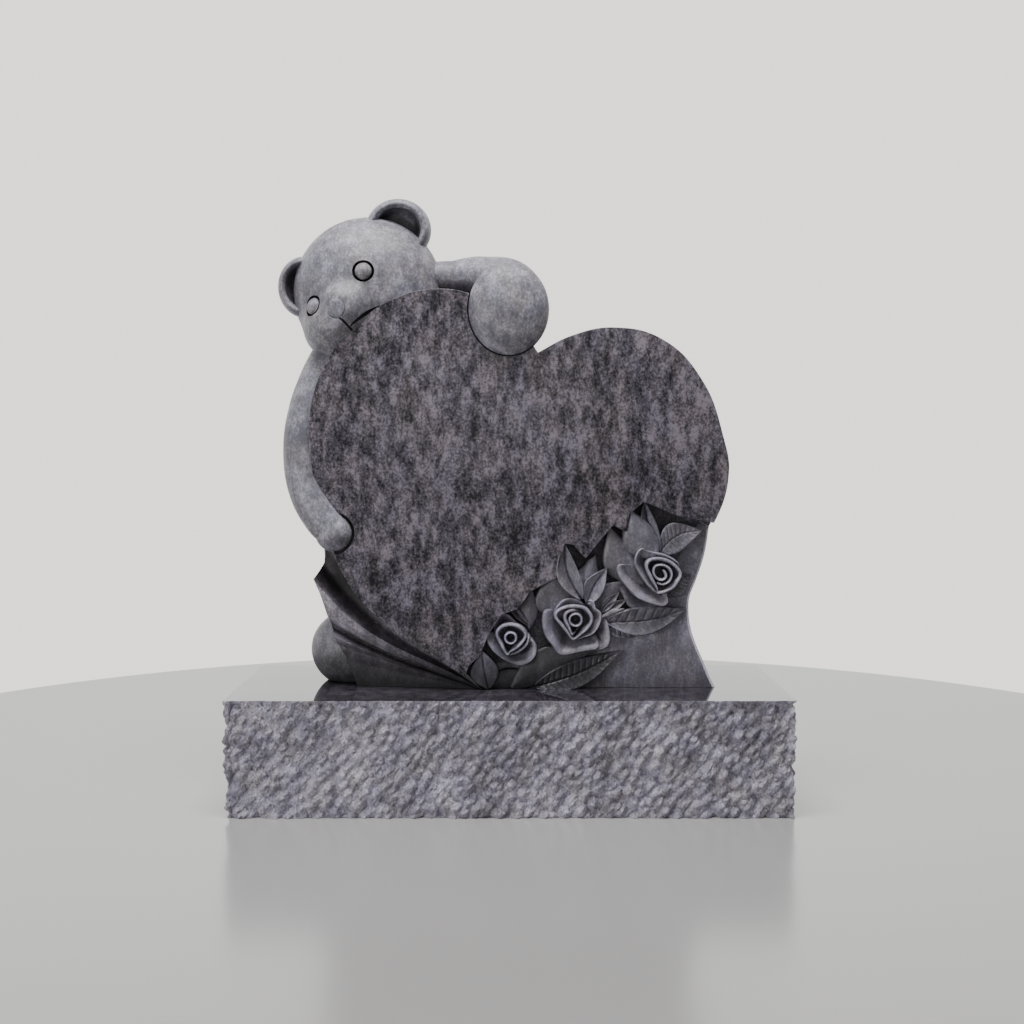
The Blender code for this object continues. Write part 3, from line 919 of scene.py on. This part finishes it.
# Painted shade: the bed behind the roses takes the darker rough stone, where shade falls between the
# carvings
for polygon in heart.data.polygons:
    if abs(polygon.center.y - BED) < 0.0005:
        polygon.material_index = RECESS_SLOT
dress(heart, (polished, groove_shade, recess_shade))
bear_forms.append(limb("hugging_arm", HUGGING_ARM))
bear_forms.append(ellipsoid((-241.5, 9.5, 217), (26, 25, 26), 4))
resting_arm = limb("resting_arm", RESTING_ARM)
# The resting arm takes the copy with painted shade on its underside
for polygon in resting_arm.polygons:
    polygon.material_index = UNDER_ARM_SHADE_SLOT
bear_forms.append(resting_arm)
PAW_PROFILE = (
    (0, -25), (18, -24), (34, -20.5), (46, -15), (53.5, -8), (57, -1), (56.5, 12), (53, 25), (44, 40),
    (24, 52), (0, 54),
)
bear_forms.append(turned((-2, 6, 522), PAW_PROFILE, (0.97, 1.11), 96, 48))
# The trunk, its flank, the two feet and the tail: middle, radii and fineness
for form in (
    ((-160, 102, 262), (112, 50, 275), 5),
    ((-222, 78, 345), (72, 62, 150), 5),
    ((-224, 98, 45), (62, 50, 57), 5),
    ((-96, 96, 45), (62, 54, 57), 5),
    ((-160, 130, 66), (26, 20, 26), 4),
):
    bear_forms.append(ellipsoid(*form))
crisp(head.data, BEAR_CREASE)
head_mesh = head.data
bpy.data.objects.remove(head)
bear = joined("teddy_bear", [head_mesh] + bear_forms)
crisp(bear.data, BEAR_CREASE)
dark_ear = granite("dark_ear_granite", (0.15, 0.145, 0.165), (0.04, 0.039, 0.047), 0.45, 0.003, 0.0001)
dress(bear, (pale, groove_shade, dark_ear, shaded_under_arm))
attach(bear, "root")
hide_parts("heart_tablet")

# Roses
# The spray that is carved into the heart's lower right: three open roses, their curled outer petals, and
# leaves that fan out behind them. All of it is honed stone, and its deepest cuts are left rough, with
# painted shade that darkens them and the parts near the seat.


def petal(middle, outline, profile, rise, steps=120):
    """A petal or cup round the rose's middle. The outline is (x, z, share of the height) from the middle,
    and the profile is (distance in from the outline, share of the rise), from the outside inwards."""
    loop = smooth_line(outline, steps, closed=True)
    points = []
    faces = []
    rings = len(profile)
    for ring, (inset, height) in enumerate(profile):
        for dx, dz, share in loop:
            radius = math.hypot(dx, dz)
            keep = max(1 - inset / radius, 0.02 * (rings - ring))
            depth = BED_BELOW_FACE - rise * height * min(share, 1.0)
            points.append(drawn(middle[0] + dx * keep, depth, middle[1] + dz * keep))
    front = len(points)
    points.append(drawn(middle[0], BED_BELOW_FACE - rise * profile[-1][1] * 0.9, middle[1]))
    for outer in range(0, (rings - 1) * steps, steps):
        for a in range(steps):
            b = (a + 1) % steps
            faces.append((outer + a, outer + b, outer + steps + b, outer + steps + a))
    for a in range(steps):
        b = (a + 1) % steps
        faces.append(((rings - 1) * steps + a, (rings - 1) * steps + b, front))
    base_ring = len(points)
    points += [(x, PETAL_ROOT, z) for x, y, z in points[:steps]]
    for a in range(steps):
        b = (a + 1) % steps
        faces.append((a, base_ring + a, base_ring + b, b))
    faces.append(tuple(range(base_ring, base_ring + steps)))
    return whole_mesh("petal", points, faces)


BED_BELOW_FACE = 28.0
PETAL_ROOT = BED + 0.006
LEAF_ROOT = BED + 0.003
# Profiles of the petals: a cup, a petal that curls over, a thin one and the bud in the middle
CUP = (
    (-3.8, 0.0), (-3.1, 0.45), (-2.3, 0.78), (-1.5, 0.94), (-0.6, 0.995), (0.4, 1.0), (1.3, 0.985),
    (2.1, 0.93), (2.8, 0.80), (3.6, 0.62), (5.0, 0.48), (7.5, 0.40), (11.0, 0.36), (16.0, 0.34),
)
CURLED = (
    (-1.5, 0.0), (-1.1, 0.50), (-0.6, 0.80), (0.1, 0.95), (1.0, 1.0), (2.2, 0.995), (4.5, 0.955),
    (7.5, 0.87), (11.0, 0.74), (15.0, 0.58), (19.0, 0.45), (24.0, 0.35), (30.0, 0.28),
)
THIN = (
    (-1.6, 0.0), (-1.2, 0.50), (-0.6, 0.84), (0.0, 0.96), (0.7, 1.0), (1.5, 0.98), (2.6, 0.90), (4.5, 0.78),
    (8.0, 0.62), (13.0, 0.47), (19.0, 0.36), (26.0, 0.28),
)
BUD = (
    (-3.0, 0.0), (-2.2, 0.60), (-1.4, 0.86), (-0.6, 0.97), (0.1, 1.0), (0.8, 0.985), (1.5, 0.90),
    (2.3, 0.66), (3.4, 0.46), (5.0, 0.36),
)


def ring(radius):
    return [(radius * math.cos(a), radius * math.sin(a), 1) for a in (math.tau * k / 12 for k in range(12))]


LEFT_ROSE = (1, 73)
MIDDLE_ROSE = (90, 98)
RIGHT_ROSE = (206, 164)
# Each petal, from the inside of its rose outwards: the rose's middle, the profile, the rise over the bed in
# millimetres, and the outline from the middle as (x, z, share of the height)
PETALS = (
    (LEFT_ROSE, BUD, 33, *ring(7.6)),
    (
        LEFT_ROSE, CUP, 31,
        (-5, -22.5, 1), (-13, -9, 1), (-18.4, 2, 1), (-17.5, 10, 1), (-10, 16.5, 1), (1, 18.6, 1),
        (12, 15.5, 1), (19.5, 8, 1), (20, 0, 1), (11, -11.5, 1), (0, -18.5, 1),
    ),
    (
        LEFT_ROSE, CUP, 28.5,
        (-4, -22, 0.9), (5, -21.5, 1), (14, -17, 1), (22, -9, 1), (24.5, 0, 1), (21, 6, 0.6), (8, 12, 0.2),
        (-10, 12, 0.2), (-12, 0, 0.2), (-9, -14, 0.4),
    ),
    (
        LEFT_ROSE, CURLED, 24,
        (-31.5, 6.5, 0.9), (-33.5, -3, 1), (-27, -16, 1), (-14, -28, 1), (1, -36, 1), (13, -39, 1),
        (25, -35.5, 1), (33.5, -27, 1), (36, -16.5, 1), (33, -7, 0.95), (25, 2, 0.6), (12, 10, 0.2),
        (-4, 12, 0.2), (-18, 9, 0.3),
    ),
    (
        LEFT_ROSE, THIN, 21,
        (-22, 7, 0.8), (-23, 20, 1), (-17.5, 30, 1), (-10, 33, 1), (-1, 29.5, 1), (7, 21, 1), (13, 14, 0.8),
        (10, -6, 0.3), (-4, -10, 0.3), (-16, -4, 0.4),
    ),
    (MIDDLE_ROSE, BUD, 33.5, *ring(8.4)),
    (
        MIDDLE_ROSE, CUP, 31.5,
        (-4.5, -20, 1), (-8.5, -12, 1), (-13.5, -2, 1), (-14.5, 6, 1), (-10, 11.5, 1), (0, 13.5, 0.9),
        (9, 8, 0.5), (9, -4, 0.5), (2, -14, 0.7),
    ),
    (
        MIDDLE_ROSE, CUP, 30,
        (-3, -26.5, 1), (-11, -17, 1), (-20, -6, 1), (-27, 3, 1), (-25, 11.5, 1), (-14, 17, 1),
        (0, 18.8, 1), (13, 15.5, 1), (21, 6, 1), (22, -2, 1), (17, -11, 1), (8, -19, 1),
    ),
    (
        MIDDLE_ROSE, THIN, 27,
        (-3, -28, 0.9), (12, -24.5, 1), (23, -20.5, 1), (30, -13, 1), (35, -1, 1), (34.5, 9, 1),
        (28, 15, 1), (25, 24, 1), (19.5, 27, 0.9), (10, 20, 0.4), (-8, 12, 0.2), (-14, -4, 0.2),
        (-9, -18, 0.4),
    ),
    (
        MIDDLE_ROSE, THIN, 25,
        (-27, 8, 0.7), (-27, 15, 0.95), (-19, 25, 1), (-9, 29.5, 1), (1, 28.5, 1), (10, 22, 0.9),
        (16, 12, 0.5), (8, -8, 0.2), (-12, -8, 0.2),
    ),
    (
        MIDDLE_ROSE, CURLED, 25.5,
        (-42, 12, 0.95), (-45, 0, 1), (-44, -14, 1), (-40, -25, 1), (-31, -37, 1), (-24, -47, 1),
        (-14, -49.5, 1), (2, -46, 1), (18, -43, 1), (29, -41, 1), (33, -34, 0.8), (26, -16, 0.4),
        (6, 4, 0.2), (-12, 10, 0.2), (-30, 14, 0.6),
    ),
    (
        MIDDLE_ROSE, CURLED, 21,
        (35, 7, 0.8), (42, 1, 0.95), (46, -10, 1), (48, -24, 1), (46, -36, 1), (37, -42, 1), (26, -42, 0.9),
        (12, -30, 0.5), (0, -8, 0.2), (10, 8, 0.2),
    ),
    (
        RIGHT_ROSE, CUP, 30,
        (-3, -28.8, 1), (-4.5, -22.5, 1), (-10.5, -12, 1), (-17.7, 2.3, 1), (-18.6, 10.5, 1),
        (-13.9, 16.3, 1), (-4.3, 18.2, 1), (6.3, 16.7, 1), (16.8, 11.5, 1), (25.5, 2.3, 1), (27.4, -5.3, 1),
        (23.5, -13, 1), (16.8, -22, 1), (6.5, -27, 1),
    ),
    (
        RIGHT_ROSE, THIN, 27,
        (-2.4, -29.5, 0.9), (-12, -23.5, 1), (-21.5, -13, 1), (-30.2, 0.4, 1), (-34.5, 11.9, 1),
        (-32.5, 24, 1), (-26, 32, 1), (-18, 29, 1), (-5.2, 25.8, 1), (6, 23.2, 1), (18.7, 16.7, 1),
        (26.4, 7.5, 0.8), (20, -10, 0.3), (8, -20, 0.4),
    ),
    (
        RIGHT_ROSE, CURLED, 24,
        (-58.5, 6, 1), (-54.5, 10, 1), (-44, 9, 0.8), (-30, 8, 0.4), (-8, 9, 0.2), (9, 3, 0.2),
        (9, -18, 0.3), (11, -36, 0.8), (11, -43.5, 1), (4, -48, 1), (-10, -44.8, 1), (-24, -39.8, 1),
        (-35, -33.1, 1), (-45.5, -21, 1), (-55, -9, 1), (-58.6, 0, 1),
    ),
    (
        RIGHT_ROSE, CURLED, 15,
        (-57, -14, 0.8), (-50, -34, 1), (-43, -48, 1), (-29, -55.5, 1), (-13, -55.5, 1), (-3, -49, 0.9),
        (10, -20, 0.3), (0, 8, 0.2), (-30, 0, 0.3),
    ),
)
spray_forms = []
for middle, profile, rise, *outline in PETALS:
    spray_forms.append(petal(middle, outline, profile, rise))

# The heart of the right rose is one band of stone that winds inwards
WINDING = (
    (-4.8, -14.9, 0.90), (3.4, -17.3, 0.94), (12, -13, 0.98), (15.4, -4.4, 1.0), (12, 4.3, 1.0),
    (3.4, 9.1, 1.0), (-6.2, 8.1, 1.0), (-9.4, 0.4, 1.0), (-5.8, -8, 1.0), (1.5, -11.2, 1.0),
    (7.2, -8.0, 1.0), (7.0, -2.0, 0.98), (3.6, 3.0, 0.92),
)


def band(middle, path, rise, half, floor, steps=150):
    """A thin wall of stone along a path of (x, z, share of the rise), with a rounded top."""
    line = smooth_line(path, steps)
    section = (
        (-2.7, 0.0), (-1.9, 0.50), (-1.5, 0.84), (-0.9, 0.97), (0.0, 1.0), (0.9, 0.97), (1.5, 0.84),
        (1.9, 0.50), (2.7, 0.0),
    )
    rows = []
    for index, (x, z, share) in enumerate(line):
        before = line[max(index - 1, 0)]
        after = line[min(index + 1, len(line) - 1)]
        way = Vector((after[0] - before[0], after[1] - before[1])).normalized()
        row = []
        for aside, height in section:
            px = middle[0] + x - way.y * aside * half
            pz = middle[1] + z + way.x * aside * half
            row.append(drawn(px, BED_BELOW_FACE - floor - (rise - floor) * height * share, pz))
        rows.append(row)
    return closed_relief("band", rows, LEAF_ROOT)


spray_forms.append(band(RIGHT_ROSE, WINDING, 31.5, 1.15, 5.0))


def leaf(stem, tip, half_width, height, bend, rib, cupped, veins, tip_height):
    """A pointed leaf from its stem end to its tip, both drawn (x, z). Bend bows its middle line sideways,
    rib is the depth of the cut along it, and veins is the number of fine cuts on each side."""
    start, end = Vector(stem), Vector(tip)
    way = end - start
    length = way.length
    ahead = way / length
    side = Vector((-ahead.y, ahead.x))
    tall = max(36, int(length / (0.8 if veins else 2.0)))
    wide = 22
    rows = []
    for i in range(tall + 1):
        v = i / tall
        breadth = half_width * math.sin(math.pi * (0.03 + 0.97 * v) ** 0.85) + 0.15
        middle = start + way * v + side * bend * math.sin(math.pi * v)
        row = []
        for j in range(wide + 1):
            u = 2 * j / wide - 1
            point = middle + side * u * breadth
            rise = height + (tip_height - height) * v
            rise *= 1 + cupped * (abs(u) ** 1.6 - 0.45) * min(1.0, 4 * (1 - v))
            edge = max(0.0, abs(u) - 0.88) / 0.12
            rise -= 1.6 * edge * edge
            groove = rib * max(0.0, 1 - abs(u) * breadth / 1.9) * min(1.0, 4 * (1 - v))
            if veins:
                slant = v * veins - abs(u) * 0.9
                hatch = abs(slant - round(slant)) * 2
                inner = min(1.0, abs(u) * 5) * min(1.0, (1 - abs(u)) * 4)
                groove += 1.4 * max(0.0, 1 - hatch * 2.0) * inner * min(1.0, 5 * (1 - v))
            row.append(drawn(point.x, BED_BELOW_FACE - max(rise - groove, 0.3), point.y))
        rows.append(row)
    return closed_relief("leaf", rows, LEAF_ROOT)


# Stem end, tip, half width, height over the bed, bend, rib, cupped, veins, height at the tip
LEAVES = (
    ((205, 190), (184, 263), 11, 18, 4, 2.2, 0.35, 0, 20),
    ((202, 182), (165, 249), 24, 21, 8, 0.0, -0.30, 0, 25),
    ((184, 146), (136, 226), 24, 14, 11, 0.0, -0.30, 0, 21),
    ((206, 190), (262, 220), 20, 19, 9, 1.8, 0.10, 10, 25),
    ((98, 126), (74, 205), 15, 24, 8, 2.6, 0.35, 0, 26),
    ((102, 128), (117, 186), 15, 19, 2, 0.0, -0.30, 0, 20),
    ((106, 120), (133, 168), 14, 24, 3, 2.0, 0.20, 0, 24),
    ((80, 96), (60, 168), 30, 15, 8, 0.0, -0.30, 0, 21),
    ((26, 84), (30, 140), 15, 14, 4, 0.0, -0.30, 0, 18),
    ((24, 90), (-7, 131), 5, 17, 2, 1.6, 0.3, 0, 20),
    ((134, 94), (243, 111), 20, 19, -7, 2.2, 0.25, 9, 13),
    ((130, 92), (188, 77), 17, 17, 2, 2.2, 0.25, 8, 12),
    ((36, 4), (152, 52), 19, 18, -6, 2.4, 0.20, 14, 12),
    ((2, 2), (118, 55), 22, 12, 10, 0.0, -0.30, 0, 13),
    ((112, 104), (156, 150), 18, 13, 2, 0.0, -0.25, 0, 14),
    ((126, 104), (160, 124), 7, 20, 1, 1.2, 0.2, 0, 17),
    ((124, 99), (158, 112), 7, 21, 1, 0.0, -0.2, 0, 18),
    ((126, 108), (150, 134), 7, 20, 1, 1.0, 0.2, 0, 17),
    ((-30, 2), (-38, 54), 19, 21, 2, 2.6, 0.0, 0, 26),
    ((-32, 1), (30, 22), 15, 10, 2, 0.0, -0.3, 0, 9),
    ((214, 130), (250, 158), 14, 12, 0, 1.0, 0.1, 9, 5),
    ((150, 120), (182, 150), 16, 8, 0, 0.0, -0.2, 0, 8),
)
for row in LEAVES:
    form = leaf(*row)
    form.polygons.foreach_set("material_index", [1] * len(form.polygons))
    spray_forms.append(form)
spray = joined("rose_spray", spray_forms)
for vert in spray.data.vertices:
    vert.co.z = max(vert.co.z, SEAT)
crisp(spray.data, 40)
# Painted shade and highlight: petals and leaves darken the deeper they lie and towards the seat, and the
# proud petal lips are painted paler
petals = depth_shaded_granite(
    "depth_shaded_petals", (0.38, 0.366, 0.423), (0.150, 0.144, 0.176), BED, -0.080, 0.17, 1.35
)
toned_along(petals, "Z", SEAT, SEAT + 0.13, 0.5)
leaves = depth_shaded_granite(
    "depth_shaded_leaves", (0.27, 0.259, 0.302), (0.088, 0.084, 0.104), BED, -0.078, 0.36, 0.98
)
toned_along(leaves, "Z", SEAT, SEAT + 0.095, 0.32)
dress(spray, (petals, leaves))
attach(spray, "root")
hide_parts("heart_tablet")

# Camera, floor and light
# A plain pale floor under the base and a soft studio light, with the camera where the photograph's was.

bm = bmesh.new()
bmesh.ops.create_circle(bm, cap_ends=True, segments=256, radius=1.29)
floor_mesh = bpy.data.meshes.new("floor")
bm.to_mesh(floor_mesh)
bm.free()
floor = placed("floor", floor_mesh)
floor.location.z = -0.0005
floor_paint = bpy.data.materials.new("floor_paint")
floor_paint.use_nodes = True
paint = floor_paint.node_tree.nodes["Principled BSDF"]
paint.inputs["Base Color"].default_value = (0.41, 0.40, 0.395, 1.0)
paint.inputs["Roughness"].default_value = 0.2
floor_mesh.materials.append(floor_paint)

world = bpy.data.worlds.new("studio")
world.use_nodes = True
air = world.node_tree
room = air.nodes["Background"]
room.inputs["Color"].default_value = (0.88, 0.88, 0.88, 1.0)
room.inputs["Strength"].default_value = 0.16
# The backdrop behind the headstone is bright, and the room in front of it is dim
direction = add_node(air, "ShaderNodeTexCoord")
direction_parts = add_node(air, "ShaderNodeSeparateXYZ", inputs={0: (direction, "Generated")})
brightness = add_node(
    air,
    "ShaderNodeMapRange",
    {"interpolation_type": "SMOOTHSTEP"},
    {"Value": (direction_parts, "Y"), "From Min": -0.6, "From Max": 0.5, "To Min": 0.35, "To Max": 2.2},
)
mirrored = {"Color": (0.90, 0.90, 0.88, 1.0), "Strength": (brightness, "Result")}
mirrored = add_node(air, "ShaderNodeBackground", inputs=mirrored)
backdrop = {"Color": (0.92, 0.90, 0.86, 1.0), "Strength": 1.95}
backdrop = add_node(air, "ShaderNodeBackground", inputs=backdrop)
ray = add_node(air, "ShaderNodeLightPath")
seen = {0: (ray, "Is Glossy Ray"), 1: (room, 0), 2: (mirrored, 0)}
unseen_or_mirrored = add_node(air, "ShaderNodeMixShader", inputs=seen)
seen = {0: (ray, "Is Camera Ray"), 1: (unseen_or_mirrored, 0), 2: (backdrop, 0)}
either = add_node(air, "ShaderNodeMixShader", inputs=seen)
wire(air, (either, 0), (air.nodes["World Output"], "Surface"))
bpy.context.scene.world = world


def soft_lamp(name, place, aim, size, power):
    lamp = bpy.data.lights.new(name, "AREA")
    lamp.shape = "RECTANGLE"
    lamp.size, lamp.size_y = size
    lamp.energy = power
    obj = placed(name, lamp)
    obj.location = place
    obj.rotation_euler = (Vector(aim) - Vector(place)).to_track_quat("-Z", "Y").to_euler()


soft_lamp("overhead", (-0.1, -0.60, 2.2), (0, 0.0, 0.4), (1.4, 0.9), 63)
soft_lamp("front", (-0.15, -2.5, 0.9), (0, 0, 0.4), (1.4, 1.2), 3)
soft_lamp("left", (-1.8, -1.5, 0.25), (-0.2, 0, 0.5), (0.9, 0.5), 22)

# The photo's camera: its focal length in pixels, and how far its aim lies below and right of the level
FOCAL_PIXELS = 1376
DOWN_PIXELS = 65
RIGHT_PIXELS = 2
lens = bpy.data.cameras.new("camera")
lens.lens = 48.375
lens.sensor_width = 36
camera = placed("camera", lens)
camera.location = (0, -1.9528, 0.4919)
tilt = math.pi / 2 - math.atan(DOWN_PIXELS / FOCAL_PIXELS)
camera.rotation_euler = (tilt, 0, -math.atan(RIGHT_PIXELS / FOCAL_PIXELS))
bpy.context.scene.camera = camera
